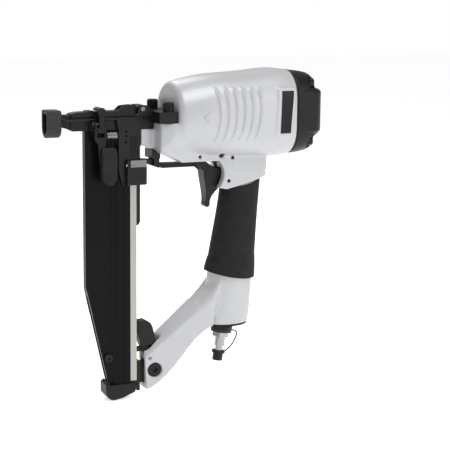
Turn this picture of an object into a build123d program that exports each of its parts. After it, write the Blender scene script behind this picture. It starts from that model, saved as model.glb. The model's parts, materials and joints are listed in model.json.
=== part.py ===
from build123d import *
import math
import os

# Pneumatic 18-gauge brad nailer, in millimetres.
# Origin: the middle of the no-mar pad's front face, on the drive axis.
# +X points to the rear cap (a brad leaves towards -X), +Y to the far side, +Z up.

# ---------- driving dimensions ----------
slide_gap = 0.5            # free gap between parts that slide past each other
pin_gap = 0.05             # radial running clearance of a pin

# drive axis
nose_end_x = 8.5           # front end of the driver guide
barrel_front_x = 111.0     # flat front face of the barrel
front_wall = 6.2           # casting in front of the cylinder
front_shoulder = 6.5       # round of the barrel's front edge
bumper_length = 5.5
bumper_gap = 0.3           # left between piston and bumper at full stroke
driver_stroke = 74.0
piston_length = 8.0
piston_rest = 1.0          # piston's rear face to the sleeve's rear end
valve_room = 15.0          # sleeve's rear end to the cap's seam
cap_depth = 29.0           # rear cap, seam to rear face
cap_wall = 4.0
gasket_thickness = 0.8
band_stand = 4.0           # how far the cap's band stands behind its corners
sleeve_front_x = barrel_front_x + front_wall
sleeve_rear_x = (sleeve_front_x + bumper_length + bumper_gap + driver_stroke + piston_length
                 + piston_rest)
barrel_rear_x = sleeve_rear_x + valve_room
cap_screw_seat = barrel_rear_x + 15.0

# barrel sections: station along the barrel, half height, half width, corner radius, rise
barrel_sections = (
    (0.0, 30.2, 30.2, 29.4, 0.0),
    (11.0, 32.6, 32.3, 31.0, 0.1),
    (30.0, 35.4, 34.6, 30.0, 0.5),
    (62.0, 37.0, 35.2, 28.0, 1.1),
    (91.0, 38.8, 34.4, 26.0, 1.9),
    (barrel_rear_x - barrel_front_x, 37.4, 33.0, 24.0, 2.3),
)

# cylinder and driver
bore_radius = 17.0
sleeve_wall = 2.5
chamber_radius = 28.5
chamber_front_x = 150.0
blade_height = 3.0
blade_width = 1.4
blade_set_back = 1.8       # blade's tip to the guide's front end at full stroke
head_valve_travel = 4.0
head_valve_length = 7.5

# nose
nose_half_width = 5.2
nose_bottom_z = -9.5
guide_plane_z = 1.8        # split between the driver guide and the door
flange_half_width = 24.4
flange_top_z = 6.0
flange_bottom_z = -3.6
flange_front_x = 93.5
nose_screw_y = 18.5
nose_screw_x = 104.0
screw_head_radius = 4.6
door_front_x = 21.2
door_hinge = (84.5, 8.2)   # x, z
door_half_width = 5.5

# magazine
magazine_front_x = 34.0
front_lip = 1.8            # cover's closed front wall
magazine_half_width = 4.5
rib_front_x = 62.4
rib_rear_x = 73.7
rib_half_width = 5.9
rail_rear_x = 80.0
rail_half_width = 4.9
rail_sheet = 1.2
cover_bottom_z = -234.0
cover_cut_z = -145.7       # where the diagonal front cut begins
cover_cut_x = 54.0         # where it meets the end cap
brad_gap_half = 0.75       # half the width of the brad channel
drop_plate_bottom_z = -93.0
end_cap_half_width = 7.5
end_cap_screw_place = (53.6, -209.5)
bracket_thickness = 2.8

# contact trip
pad_length = 12.5
pad_half_width = 8.6
pad_top_z = 8.6
pad_bottom_z = -14.8
pad_wall = 2.9
shoe_wall = 0.8
rod_radius = 1.2
rod_y = 7.05
rod_head_z = 2.2           # where the rods enter the pad, above the drive axis
side_plate = (6.6, 8.4)    # inner and outer face, from the middle plane
yoke_x = (69.0, 87.0)
yoke_z = (-57.0, -35.2)
yoke_half_width = 12.5
depth_screw_z = -39.5

# handle: station down the handle (z), centre x, half length, half width
handle_sections = (
    (-34.0, 182.6, 17.8, 13.6),
    (-66.0, 180.6, 16.8, 14.3),
    (-100.0, 176.6, 18.4, 14.8),
    (-138.0, 172.2, 21.0, 15.4),
    (-188.0, 168.6, 20.6, 15.4),
)
handle_bottom_z = handle_sections[-1][0]
handle_wall = 4.2
grip_thickness = 1.6
neck_half_width = 15.0
neck_bottom_z = -39.0
trigger_slot_half = 7.6

# arm from the handle's foot to the magazine
arm_front_x = 86.6
arm_front_half = 7.8
arm_root_half = 15.2
arm_bevel = 4.0
arm_bolt = (96.0, -224.0)
bolt_radius = 4.0
latch_pivot = (91.5, -213.0)

# trigger
trigger_pivot = (135.3, -34.4)
trigger_half = 7.0
valve_x = 160.5
valve_bottom_z = -40.4

# quick-clear latch on the nose; each pivot is given by its y and z
lever_pivot = (-11.8, -3.2)
hook_pivot = (-12.6, -8.6)
latch_pin_radius = 1.1
ears_x = ((38.0, 39.5), (49.5, 51.0))
cheeks_x = ((39.8, 41.2), (47.8, 49.2))
hook_x = (43.0, 47.4)
hook_head_radius = 3.6
hook_head_z = 6.9
hook_seat_z = 7.9          # the hook's underside, just over the door
trip_spring_place = (-9.0, -13.5)

# air inlet, on an axis that leans with the handle
inlet_lean = 7.5
inlet_origin = (165.2, handle_bottom_z)
tether_diameter = 1.2

os.makedirs("parts", exist_ok=True)


# ---------- helpers ----------
def block(x, y, z):
    """A box between the given limits on each axis."""
    middle = ((x[0] + x[1]) / 2, (y[0] + y[1]) / 2, (z[0] + z[1]) / 2)
    return Pos(*middle) * Box(x[1] - x[0], y[1] - y[0], z[1] - z[0])


def rod_along_x(radius, x, y=0.0, z=0.0):
    return Pos((x[0] + x[1]) / 2, y, z) * Rot(0, 90, 0) * Cylinder(radius, x[1] - x[0])


def rod_along_y(radius, y, x, z):
    return Pos(x, (y[0] + y[1]) / 2, z) * Rot(90, 0, 0) * Cylinder(radius, y[1] - y[0])


def rod_along_z(radius, z, x, y=0.0):
    return Pos(x, y, (z[0] + z[1]) / 2) * Cylinder(radius, z[1] - z[0])


def side_shape(points, y):
    """A plate whose outline is drawn in x and z and which spans the given y."""
    outline = make_face(Plane.XZ * Polyline(*points, close=True))
    return Pos(0, y[0], 0) * extrude(outline, y[1] - y[0], dir=(0, 1, 0))


def end_shape(points, x):
    """A bar whose section is drawn in y and z and which spans the given x."""
    outline = make_face(Plane.YZ * Polyline(*points, close=True))
    return Pos(x[0], 0, 0) * extrude(outline, x[1] - x[0], dir=(1, 0, 0))


def plan_shape(points, z):
    """A column whose outline is drawn in x and y and which spans the given z."""
    outline = make_face(Polyline(*points, close=True))
    return Pos(0, 0, z[0]) * extrude(outline, z[1] - z[0], dir=(0, 0, 1))


def mirrored(shape):
    """The shape and its mirror image across the middle plane."""
    return [shape, mirror(shape, Plane.XZ)]


def save(name, *solids):
    """Write the named sub-part; several solids stay separate in one node."""
    found = [solid for shape in solids for solid in shape.solids()]
    shape = found[0] if len(found) == 1 else Compound(children=found)
    export_step(shape, f"parts/{name}.step")


# ---------- housing casting ----------
def barrel(grow=0.0):
    """The barrel's outer form, grown or shrunk all round."""
    sections = []
    for station, half_height, half_width, corner, rise in barrel_sections:
        shape = RectangleRounded(2 * (half_width + grow), 2 * (half_height + grow), corner + grow)
        sections.append(Plane.YZ.offset(barrel_front_x + station) * Pos(0, rise) * shape)
    return loft(sections)


def rounded_barrel():
    form = barrel()
    return fillet(form.edges().group_by(Axis.X)[0], front_shoulder)


def handle_core(shrink=0.0, top_z=None, bottom_z=None):
    sections = []
    for z, x, half_length, half_width in handle_sections:
        shape = Ellipse(half_length - shrink, half_width - shrink)
        sections.append(Plane.XY.offset(z) * Pos(x, 0) * shape)
    body = loft(sections)
    top = handle_sections[0][0] if top_z is None else top_z
    bottom = handle_bottom_z if bottom_z is None else bottom_z
    return body & block((120, 230), (-40, 40), (bottom, top))


def arm():
    """The curved arm that carries the lower end of the magazine."""
    root = (158.0, -143.0)
    front_top = (arm_front_x, -207.0)
    front_bottom = (arm_front_x + 1.2, -241.6)
    foot = (150.0, handle_bottom_z)
    top = Spline(root, (139.3, -164.1), (119.3, -180.3), (104.9, -191.7), front_top)
    bottom = Spline(front_bottom, (94.3, -239.0), (107.0, -229.4), (120.1, -214.8), (139.9, -193.4), foot)
    outline = Curve() + top + Line(front_top, front_bottom) + bottom + Line(foot, root)
    side = extrude(make_face(Plane.XZ * outline), arm_root_half, both=True)
    wedge = ((arm_front_x - 2, -arm_front_half), (162, -arm_root_half),
             (162, arm_root_half), (arm_front_x - 2, arm_front_half))
    body = side & plan_shape(wedge, (-245, -130))
    long_edges = body.edges().filter_by(lambda edge: edge.length > 60)
    return chamfer(long_edges.sort_by(lambda edge: edge.center().Z)[-2:], arm_bevel)


def chin():
    """The wide casting under and in front of the barrel, which narrows into the neck."""
    right = Spline((27.0, 4.0), (27.5, -8.0), (25.0, -18.0), (21.0, -26.0), (16.5, -33.0), (15.0, -40.0))
    section = Curve() + right + mirror(right, Plane.YZ) + Line((27.0, 4.0), (-27.0, 4.0))
    section += Line((15.0, -40.0), (-15.0, -40.0))
    flanks = Pos(90, 0, 0) * extrude(make_face(Plane.YZ * section), 60, dir=(1, 0, 0))
    side = ((96.5, flange_bottom_z), (96.5, -28.7), (117.7, -37.8), (121.0, neck_bottom_z),
            (142.0, neck_bottom_z), (142.0, 3.0), (barrel_front_x, 3.0), (barrel_front_x, flange_bottom_z))
    plan = ((96.0, -19.0), (108.0, -26.0), (117.0, -28.0), (142.0, -neck_half_width),
            (142.0, neck_half_width), (117.0, 28.0), (108.0, 26.0), (96.0, 19.0))
    body = side_shape(side, (-30, 30)) & flanks & plan_shape(plan, (-45, 10))
    tongue = side_shape(((84.0, nose_bottom_z), (84.0, -22.5), (97.0, -28.7), (97.0, nose_bottom_z)),
                        (-6.0, 6.0))
    return body + tongue


def neck():
    """The narrow part that holds the trigger valve and runs from the barrel into the handle."""
    front_top = (154.2, neck_bottom_z)
    front_bottom = (154.0, -62.9)
    outline = Curve() + Spline(front_top, (157.6, -43.5), (159.0, -48.9), (158.2, -55.1), front_bottom)
    outline += Polyline(front_bottom, (162.0, -64.6), (180.0, -60.4), (194.0, -56.4), (199.8, -53.6),
                        (200.6, -39.9), (198.0, 3.0), (118.0, 3.0), (118.0, neck_bottom_z), front_top)
    return extrude(make_face(Plane.XZ * outline), neck_half_width, both=True)


def label_corners(rear, front, top, bottom, slant):
    """x and z of a leaning plate's corners, measured forward from the cap's seam."""
    return ((barrel_rear_x - front, top), (barrel_rear_x - rear, top),
            (barrel_rear_x - rear - slant, bottom), (barrel_rear_x - front - 0.4 * slant, bottom))


def label_pad():
    """The raised frame round the name plate."""
    return barrel(0.9) & side_shape(label_corners(1.4, 19.6, 25.6, -18.1, 4.2), (-50, -20))


def label_plate_solid():
    skin = barrel(1.2) - barrel(0.2)
    return skin & side_shape(label_corners(4.4, 16.1, 22.6, -14.5, 2.8), (-50, -20))


def side_ribs():
    """Six shallow curved ribs on the near flank, with an arrowhead in front of them."""
    skin = barrel(0.5) & block((112, barrel_rear_x - 1), (-50, -5), (-24, 28))
    bar_width = 2.7
    top_z, bottom_z = 26.0, -20.0
    arrow = ((129.6, 1.1), (138.8, 6.9), (139.9, 5.0), (133.6, 1.1), (138.0, -2.9), (136.8, -4.8))
    shapes = side_shape(arrow, (-45, 0))
    for index in range(6):
        top_x = 141.6 + 7.94 * index
        middle_x = 144.9 + 7.64 * index
        bottom_x = 140.7 + 7.46 * index
        front = ThreePointArc((top_x, top_z), (middle_x, 0.0), (bottom_x, bottom_z))
        rear = ThreePointArc((top_x + bar_width, top_z), (middle_x + bar_width, 0.0),
                             (bottom_x + bar_width, bottom_z))
        outline = Curve() + front + Line((bottom_x, bottom_z), (bottom_x + bar_width, bottom_z)) + rear
        outline += Line((top_x + bar_width, top_z), (top_x, top_z))
        shapes += extrude(make_face(Plane.XZ * outline), 45, dir=(0, -1, 0))
    return skin & shapes


def housing():
    body = rounded_barrel() + chin() + neck() + handle_core() + arm()
    body += label_pad()
    body += side_ribs()
    body -= label_plate_solid()
    # barrel bore: front seat for the bumper and sleeve, then the air chamber
    body -= rod_along_x(4.0, (barrel_front_x - 2, sleeve_front_x + 1))
    body -= rod_along_x(bore_radius + sleeve_wall, (sleeve_front_x, chamber_front_x + 10))
    body -= rod_along_x(chamber_radius, (chamber_front_x, barrel_rear_x + 1))
    # handle chamber and its passage to the barrel
    body -= handle_core(handle_wall, -64.0, handle_bottom_z - 1)
    body -= rod_along_z(8.0, (-80, -20), 184.0)
    # trigger slot, trigger lug pocket and valve bore
    body -= trigger_slot()
    body -= block((127, 149), (-trigger_slot_half, trigger_slot_half), (neck_bottom_z, -30))
    body -= rod_along_z(6.5, (neck_bottom_z, -29), valve_x)
    body -= rod_along_z(3.0, (-31, -20), valve_x + 2)
    # pins across the housing
    for x, z, radius in housing_pin_places():
        body -= rod_along_y(radius, (-20, 20), x, z)
    # arm bolt, its counterbores and the slot for the magazine bracket and latch
    x, z = arm_bolt
    body -= rod_along_y(bolt_radius, (-20, 20), x, z)
    body -= rod_along_y(6.6, (-20, -4.6), x, z)
    body -= rod_along_y(6.6, (4.6, 20), x, z)
    body -= block((80, 106), (-2.8, 2.8), (-236, -216))
    body -= side_shape(((80, -204), (80, -221), (96, -221), (102, -212), (102, -180), (80, -180)),
                       (-3.6, 3.6))
    body -= side_shape(((80, -205.5), (88, -206), (102.5, -203), (102.5, -175), (80, -175)), (-5.4, 5.4))
    body -= rod_along_y(1.6, (-12, 12), *latch_pivot)
    # screw holes
    for y in (-nose_screw_y, nose_screw_y):
        body -= rod_along_z(2.5, (-16, 0), nose_screw_x, y)
    for y, z in cap_screw_places():
        body -= rod_along_x(2.1, (barrel_rear_x - 15, barrel_rear_x + 3), y, z)
    return body


def trigger_slot():
    """The open space behind and above the trigger."""
    outline = ((126, -80), (126, -38.5), (167, -38.5), (167.5, -50), (163.5, -64), (154, -80))
    return side_shape(outline, (-trigger_slot_half, trigger_slot_half))


def housing_pin_places():
    """x, z and radius of the cross pins, front to back."""
    return ((trigger_pivot[0], trigger_pivot[1], 1.5), (155.9, -33.6, 2.4),
            (167.0, -36.4, 1.5), (163.6, -57.0, 1.5))


def cap_screw_places():
    """y and z of the four rear cap screws."""
    rise = barrel_sections[-1][4]
    return [(y, rise + z) for y in (-23.5, 23.5) for z in (-25.5, 25.5)]


# ---------- rear cap ----------
def cap_outline(grow, corner):
    _, half_height, half_width, _, rise = barrel_sections[-1]
    return Pos(0, rise) * RectangleRounded(2 * (half_width + grow), 2 * (half_height + grow), corner)


def rear_cap():
    front = barrel_rear_x + gasket_thickness
    rear = barrel_rear_x + cap_depth
    body_rear = rear - band_stand
    rise = barrel_sections[-1][4]
    half_width = barrel_sections[-1][2]
    body = loft([Plane.YZ.offset(front) * cap_outline(-0.2, 23.6),
                 Plane.YZ.offset(front + 9) * cap_outline(-0.8, 23.0),
                 Plane.YZ.offset(body_rear - 6) * cap_outline(-2.6, 21.5)])
    body += loft([Plane.YZ.offset(body_rear - 6) * cap_outline(-2.6, 21.5),
                  Plane.YZ.offset(body_rear) * cap_outline(-7.0, 17.5)], ruled=True)
    # corner steps for the screws, open to the outside
    for y, z in cap_screw_places():
        for reach in (0.0, 5.0, 10.0):
            slant = math.atan2(z - rise, y)
            place = (y + reach * math.cos(slant), z + reach * math.sin(slant))
            body -= rod_along_x(6.0, (cap_screw_seat, rear + 2), *place)
    # band that runs round the sides and the rear between the screws
    band_z = (rise - 18.5, rise + 21.0)
    corner = 14.0
    plan = plan_shape(((front + 4.5, -30), (rear, -30), (rear, 30), (front + 4.5, 30)), band_z)
    wide = block((front + 4.5, rear - corner), (-half_width + 0.2, half_width - 0.2), band_z)
    round_corner = rod_along_z(corner, band_z, rear - corner, half_width - corner - 0.2)
    for side in (-1, 1):
        limits = sorted((side * (half_width - corner - 0.2), side * 40))
        plan -= block((rear - corner, rear + 1), limits, (rise - 30, rise + 30))
    band = plan + wide
    for post in mirrored(round_corner):
        band += post
    bevelled = band.edges().group_by(Axis.Z)[0] + band.edges().group_by(Axis.Z)[-1]
    body += chamfer(bevelled, 2.4)
    # valve pocket, exhaust chamber and slots
    pocket_rear = sleeve_rear_x + head_valve_length + head_valve_travel + 6.0
    body -= rod_along_x(24.2, (front - 1, pocket_rear))
    body -= rod_along_x(14.4, (front - 1, pocket_rear + 4.5))
    body -= rod_along_x(8.0, (pocket_rear, rear - cap_wall))
    for z in (-9, -3, 3, 9):
        body -= block((rear - cap_wall - 1, rear + 2), (-12, 12), (z - 1.1, z + 1.1))
    for y, z in cap_screw_places():
        body -= rod_along_x(2.1, (front - 1, rear), y, z)
    return body


def cap_screws():
    rear = cap_screw_seat
    screws = []
    for y, z in cap_screw_places():
        screw = rod_along_x(4.0, (rear, rear + 4.2), y, z) + rod_along_x(2.05, (rear - 27, rear), y, z)
        screw -= Pos(rear + 1.8, y, z) * Rot(0, 90, 0) * extrude(RegularPolygon(1.8, 6), 3)
        screws.append(screw)
    return screws


def cap_gasket():
    sheet = extrude(Plane.YZ.offset(barrel_rear_x) * cap_outline(-0.8, 23.0), gasket_thickness, dir=(1, 0, 0))
    sheet -= rod_along_x(chamber_radius, (barrel_rear_x - 1, barrel_rear_x + 2))
    for y, z in cap_screw_places():
        sheet -= rod_along_x(2.3, (barrel_rear_x - 1, barrel_rear_x + 2), y, z)
    return sheet


def exhaust_silencer():
    """A pad of sintered bronze behind the exhaust slots."""
    rear = barrel_rear_x + cap_depth - cap_wall
    return rod_along_x(7.9, (rear - 3.5, rear))


# ---------- cylinder ----------
def cylinder_sleeve():
    outer = bore_radius + sleeve_wall - 0.05
    collar = bore_radius + 5.0
    sleeve = rod_along_x(outer, (sleeve_front_x, sleeve_rear_x))
    sleeve += rod_along_x(chamber_radius - 0.3, (chamber_front_x + 0.3, chamber_front_x + 4.0))
    sleeve += rod_along_x(collar, (sleeve_rear_x - 6, sleeve_rear_x))
    sleeve -= rod_along_x(bore_radius, (sleeve_front_x - 1, sleeve_rear_x + 1))
    sleeve -= o_ring(outer, sleeve_front_x + 6, 1.2)
    return sleeve - o_ring(collar - 0.05, sleeve_rear_x - 3, 1.2)


def o_ring(radius, x, section):
    return Pos(x, 0, 0) * Rot(0, 90, 0) * Torus(radius - section * 0.6, section)


def sleeve_seals():
    return [o_ring(bore_radius + sleeve_wall - 0.05, sleeve_front_x + 6, 1.15)
            & rod_along_x(bore_radius + sleeve_wall - 0.02, (100, 150)),
            o_ring(bore_radius + 5.0 - 0.05, sleeve_rear_x - 3, 1.15)]


def piston_bumper():
    rear = sleeve_front_x + bumper_length
    bumper = rod_along_x(bore_radius - 0.3, (sleeve_front_x, rear))
    return bumper - rod_along_x(5.0, (sleeve_front_x - 1, rear + 1))


piston_rear_x = sleeve_rear_x - piston_rest
piston_front_x = piston_rear_x - piston_length
blade_tip_x = nose_end_x + blade_set_back + driver_stroke


def piston():
    body = rod_along_x(bore_radius - 0.35, (piston_front_x, piston_rear_x))
    body -= rod_along_x(bore_radius - 6, (piston_rear_x - 3, piston_rear_x + 1))
    body += rod_along_x(4.5, (piston_front_x - 4, piston_front_x + 1))
    body -= o_ring(bore_radius - 0.35, piston_front_x + 4, 1.25)
    body -= block((piston_front_x - 6, piston_front_x + 3), (-0.75, 0.75), (-2.2, 2.2))
    return body


def piston_ring():
    return o_ring(bore_radius - 0.35, piston_front_x + 4, 1.2) & rod_along_x(
        bore_radius - 0.31, (piston_front_x, piston_rear_x))


def driver_blade():
    return block((blade_tip_x, piston_front_x + 3), (-blade_width / 2, blade_width / 2),
                 (-blade_height / 2, blade_height / 2))


def head_valve():
    front = sleeve_rear_x + 0.1
    valve = rod_along_x(24.0, (front, front + head_valve_length))
    valve -= rod_along_x(19.0, (front + 3, front + head_valve_length + 1))
    valve += rod_along_x(7.0, (front + 1, front + head_valve_length))
    return valve


def head_valve_spring():
    front = sleeve_rear_x + 3.1
    coils = rod_along_x(14.0, (front, front + 7.5)) - rod_along_x(11.5, (front - 1, front + 8.5))
    return coils


# ---------- nose ----------
def driver_channel(x):
    return block(x, (-0.95, 0.95), (-1.75, 1.75))


def nose_body():
    """Driver guide, mounting flange and the plate that drops behind the magazine."""
    front = side_shape(((nose_end_x, -4.2), (nose_end_x, 3.2), (nose_end_x + 1.2, 4.3), (18.0, 4.3),
                        (door_front_x + 0.2, 4.3), (door_front_x + 2.0, -9.4), (18.9, -7.6), (14.3, -6.3)),
                       (-4.2, 4.2))
    bar = block((door_front_x, 95.3), (-nose_half_width, nose_half_width), (nose_bottom_z, guide_plane_z))
    bar = chamfer(bar.edges().filter_by(Axis.Y).group_by(Axis.X)[0].sort_by(Axis.Z)[:1], 1.2)
    front -= block((door_front_x - 0.3, 40), (-10, 10), (guide_plane_z, 10))
    flange = block((flange_front_x, barrel_front_x), (-flange_half_width, flange_half_width),
                   (flange_bottom_z, flange_top_z))
    body = front + bar + flange
    # the cast lugs that hold the door hinge
    lug = side_shape(((79.5, 4.4), (81.2, 11.2), (87.5, 11.2), (96.0, 5.5), (96.0, 2.4), (81.5, 2.4)),
                     (6.3, 9.0))
    for part in mirrored(lug):
        body += part
    plate_rear = 83.4
    body += side_shape(((rail_rear_x + 0.3, nose_bottom_z + 1), (rail_rear_x + 0.3, drop_plate_bottom_z),
                        (rail_rear_x + 1.6, drop_plate_bottom_z), (plate_rear, drop_plate_bottom_z + 3),
                        (plate_rear, nose_bottom_z + 1)), (-rail_half_width, rail_half_width))
    body += block((rail_rear_x + 0.3, 84.0), (-nose_half_width, nose_half_width), (-24, nose_bottom_z + 1))
    body += latch_ears()
    # driver channel, brad feed slot, hinge pin and screw holes
    body -= driver_channel((nose_end_x - 1, barrel_front_x + 1))
    body -= block((magazine_front_x + front_lip, 83.0), (-brad_gap_half, brad_gap_half),
                  (nose_bottom_z - 1, 0))
    body -= rod_along_y(2.0, (-10, 10), *door_hinge)
    for y in (-nose_screw_y, nose_screw_y):
        body -= rod_along_z(2.8, (flange_bottom_z - 1, flange_top_z + 1), nose_screw_x, y)
    return body


def latch_ears():
    """The block on the nose's near side, with two ears for the lever's pin."""
    y, z = lever_pivot
    ears = block((37.0, 52.0), (-7.2, -nose_half_width + 0.2), (-9.4, -1.9))
    for x in ears_x:
        ears += end_shape(((-5.2, -9.0), (-5.2, -2.0), (-9.4, -2.0), (y, z), (-12.0, -5.6), (-9.0, -9.0)), x)
        ears += rod_along_x(2.3, x, y, z)
    return ears - rod_along_x(latch_pin_radius, (30, 60), y, z)


def nose_screws():
    """Two knurled socket-head screws that clamp the nose to the housing."""
    screws = []
    for y in (-nose_screw_y, nose_screw_y):
        head = rod_along_z(screw_head_radius, (flange_top_z, flange_top_z + 8.2), nose_screw_x, y)
        head = chamfer(head.edges().sort_by(Axis.Z)[-1:], 0.6)
        shank = rod_along_z(2.45, (-14, flange_top_z), nose_screw_x, y)
        socket = Pos(nose_screw_x, y, flange_top_z + 4.4) * extrude(RegularPolygon(2.3, 6), 6)
        screws.append(head + shank - socket)
    return screws


def nose_door():
    """The cover over the driver guide; it lifts at the front to clear a jam."""
    x, z = door_hinge
    bottom = guide_plane_z + 0.3
    plate = side_shape(((door_front_x, bottom), (door_front_x, 5.2), (26.7, 6.3), (35.6, 6.6), (36.0, 7.3),
                        (40.8, 7.4), (41.2, 6.6), (62.4, 6.8), (72.0, 7.3), (80.0, 9.5), (84.0, 11.0),
                        (84.0, bottom + 2.7), (79.0, bottom)), (-door_half_width, door_half_width))
    barrel_part = rod_along_y(3.4, (-door_half_width, door_half_width), x, z)
    frame_bar = side_shape(((62.0, 6.0), (67.5, 10.6), (76.0, 11.4), (80.0, 11.0), (80.0, 6.0)),
                           (door_half_width - 1.8, door_half_width))
    door = plate + barrel_part
    for part in mirrored(frame_bar):
        door += part
    door -= rod_along_y(2.0 + pin_gap, (-10, 10), x, z)
    return door - block((28, 72), (-1.2, 1.2), (0, bottom + 0.5))


def door_hinge_pin():
    return rod_along_y(2.0, (-9.4, 9.4), *door_hinge)


# ---------- quick-clear latch ----------
def release_lever():
    """Two cheeks on the lever's pin, joined below by a strap that carries the thumb paddle."""
    y, z = lever_pivot
    strap_y = (-14.0, -11.8)
    strap = ((cheeks_x[0][0], -14.6), (cheeks_x[1][1], -14.6), (cheeks_x[1][1], -17.5), (48.6, -20.0),
             (48.6, -50.0), (44.9, -50.0), (42.4, -20.0), (cheeks_x[0][0], -17.5))
    lever = side_shape(strap, strap_y)
    for x in cheeks_x:
        lever += end_shape(((-13.6, -2.6), (-10.2, -2.6), (-10.0, -9.0), (-11.4, -16.5), (-14.2, -16.5),
                            (-15.0, -9.0)), x)
        lever += rod_along_x(2.2, x, y, z)
    lever -= rod_along_x(latch_pin_radius + pin_gap, (30, 60), y, z)
    return lever - rod_along_x(latch_pin_radius, (30, 60), *hook_pivot)


def release_paddle():
    """The moulded thumb pad on the lever, with a lip that flares away from the magazine."""
    outline = ((44.7, -23.4), (58.3, -23.4), (58.3, -49.0), (53.5, -55.0), (48.5, -55.0), (44.7, -50.0))
    pad = fillet(side_shape(outline, (-20.2, -12.2)).edges().filter_by(Axis.Y), 1.6)
    profile = Curve() + Spline((-15.2, -23.4), (-17.4, -30.0), (-17.6, -42.0), (-20.2, -55.0))
    profile += Polyline((-20.2, -55.0), (-17.4, -55.0), (-12.2, -49.0), (-12.2, -23.4), (-15.2, -23.4))
    pad &= Pos(40, 0, 0) * extrude(make_face(Plane.YZ * profile), 20, dir=(1, 0, 0))
    return pad - block((42.0, 48.65), (-14.05, -11.75), (-50.1, -20))


def lever_pin():
    return rod_along_x(latch_pin_radius, (ears_x[0][0] - 0.4, ears_x[1][1] + 0.4), *lever_pivot)


def hook_pin():
    return rod_along_x(latch_pin_radius, (cheeks_x[0][0], cheeks_x[1][1]), *hook_pivot)


def trip_return_spring():
    """The coil that draws the contact trip forward, drawn as a tube of its outer size."""
    return rod_along_x(3.4, (50.3, 61.2), *trip_spring_place) - rod_along_x(2.0, (49, 63), *trip_spring_place)


def release_hook():
    """The leg from the lever up to the round head, whose flat underside holds the door down."""
    y, z = hook_pivot
    outer_y = -15.4
    inner_y = -1.2
    leg = end_shape(((outer_y, z), (outer_y, hook_seat_z), (-10.0, hook_seat_z), (-10.0, 0.5), (-13.3, 0.5),
                     (-13.3, z)), hook_x)
    foot = rod_along_x(2.9, (hook_x[0] - 1.4, hook_x[1]), y, z)
    head_x = (hook_x[0] + hook_x[1]) / 2 + 0.2
    head = rod_along_y(hook_head_radius, (outer_y, inner_y), head_x, hook_head_z)
    head -= block((35, 60), (-11.0, 5), (0, hook_seat_z))
    return leg + foot + head - rod_along_x(latch_pin_radius + pin_gap, (30, 60), y, z)


# ---------- magazine ----------
def rail_window():
    return block((rail_rear_x - 7, rail_rear_x + 1), (-2.6, 2.6), (-212, -190))


def magazine_rail():
    """The fixed stainless track: a channel folded from strip, with a thin guide blade."""
    top = nose_bottom_z - 0.2
    front = rib_rear_x + slide_gap
    blade_front = magazine_front_x + 3.5
    rail = block((front, rail_rear_x), (-rail_half_width, rail_half_width), (-232.5, top))
    rail -= block((front + rail_sheet, rail_rear_x - rail_sheet),
                  (-rail_half_width + rail_sheet, rail_half_width - rail_sheet), (-240, 0))
    rail -= block((front - 1, front + 2), (-brad_gap_half, brad_gap_half), (-240, 0))
    blade = side_shape(((blade_front, top), (rib_rear_x + 1.0, top), (rib_rear_x + 1.0, -232.5),
                        (58.0, -232.5), (blade_front, cover_cut_z - 3)), (1.0, 2.6))
    rail += blade
    rail -= rail_window()
    return rail - foot_screw_hole()


def cover_side_outline(back):
    top = nose_bottom_z - 0.4
    return ((magazine_front_x, top), (back, top), (back, cover_bottom_z), (cover_cut_x, cover_bottom_z),
            (magazine_front_x, cover_cut_z))


def magazine_cover():
    """The sliding extrusion that covers the brads: front lip, trough and rib."""
    half = magazine_half_width
    section = ((magazine_front_x, -half + 1.2), (magazine_front_x + 1.2, -half), (rib_front_x - 3, -half),
               (rib_front_x, -rib_half_width), (rib_rear_x, -rib_half_width), (rib_rear_x, rib_half_width),
               (rib_front_x, rib_half_width), (rib_front_x - 3, half), (magazine_front_x + 1.2, half),
               (magazine_front_x, half - 1.2))
    body = plan_shape(section, (cover_bottom_z - 2, 0))
    trough_front = magazine_front_x + 5.0
    trough = plan_shape(((trough_front, -half - 1), (trough_front + 0.8, -half + 0.7),
                         (rib_front_x - 5.4, -half + 0.7), (rib_front_x - 3.9, -half - 1)),
                        (cover_bottom_z - 2, 0))
    for part in mirrored(trough):
        body -= part
    groove = block((66.9, 68.1), (-rib_half_width - 1, -rib_half_width + 0.5), (cover_bottom_z - 2, 0))
    for part in mirrored(groove):
        body -= part
    body -= block((magazine_front_x + front_lip, rib_rear_x + 1), (-brad_gap_half - 0.15, 3.1),
                  (cover_bottom_z - 3, 1))
    body -= block((64.6, 71.6), (-4.6, -brad_gap_half), (cover_bottom_z - 3, 1))
    x, z = end_cap_screw_place
    body -= rod_along_y(1.6, (-6, 0), x, z)
    body -= rod_along_y(3.75, (-6, -half + 0.75), x, z)
    return body & side_shape(cover_side_outline(rib_rear_x), (-10, 10))


def magazine_end_cap():
    """The moulded foot that closes the cover's lower end."""
    outline = ((50.2, cover_bottom_z + 1.2), (50.4, -242.0), (54.2, -246.8), (57.8, -248.0), (66.4, -246.6),
               (78.0, -242.2), (78.6, cover_bottom_z), (60.0, cover_bottom_z), (60.0, -230.0), (53.0, -230.5))
    foot = side_shape(outline, (-end_cap_half_width, end_cap_half_width))
    inner = side_shape(((magazine_front_x, 0), (rib_rear_x, 0), (rib_rear_x, cover_bottom_z),
                        (cover_cut_x, cover_bottom_z), (magazine_front_x, cover_cut_z)), (-10, 10))
    foot -= inner
    foot -= block((rib_rear_x - 1, 90), (-20, 20), (cover_bottom_z, -200))
    return foot


def end_cap_screw():
    x, z = end_cap_screw_place
    head = rod_along_y(3.7, (-magazine_half_width - 1.4, -magazine_half_width + 0.75), x, z)
    shank = rod_along_y(1.6, (-magazine_half_width, -1.2), x, z)
    socket = Pos(x, -magazine_half_width - 0.2, z) * Rot(90, 0, 0) * extrude(RegularPolygon(1.9, 6), 3)
    return head + shank - socket


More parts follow.
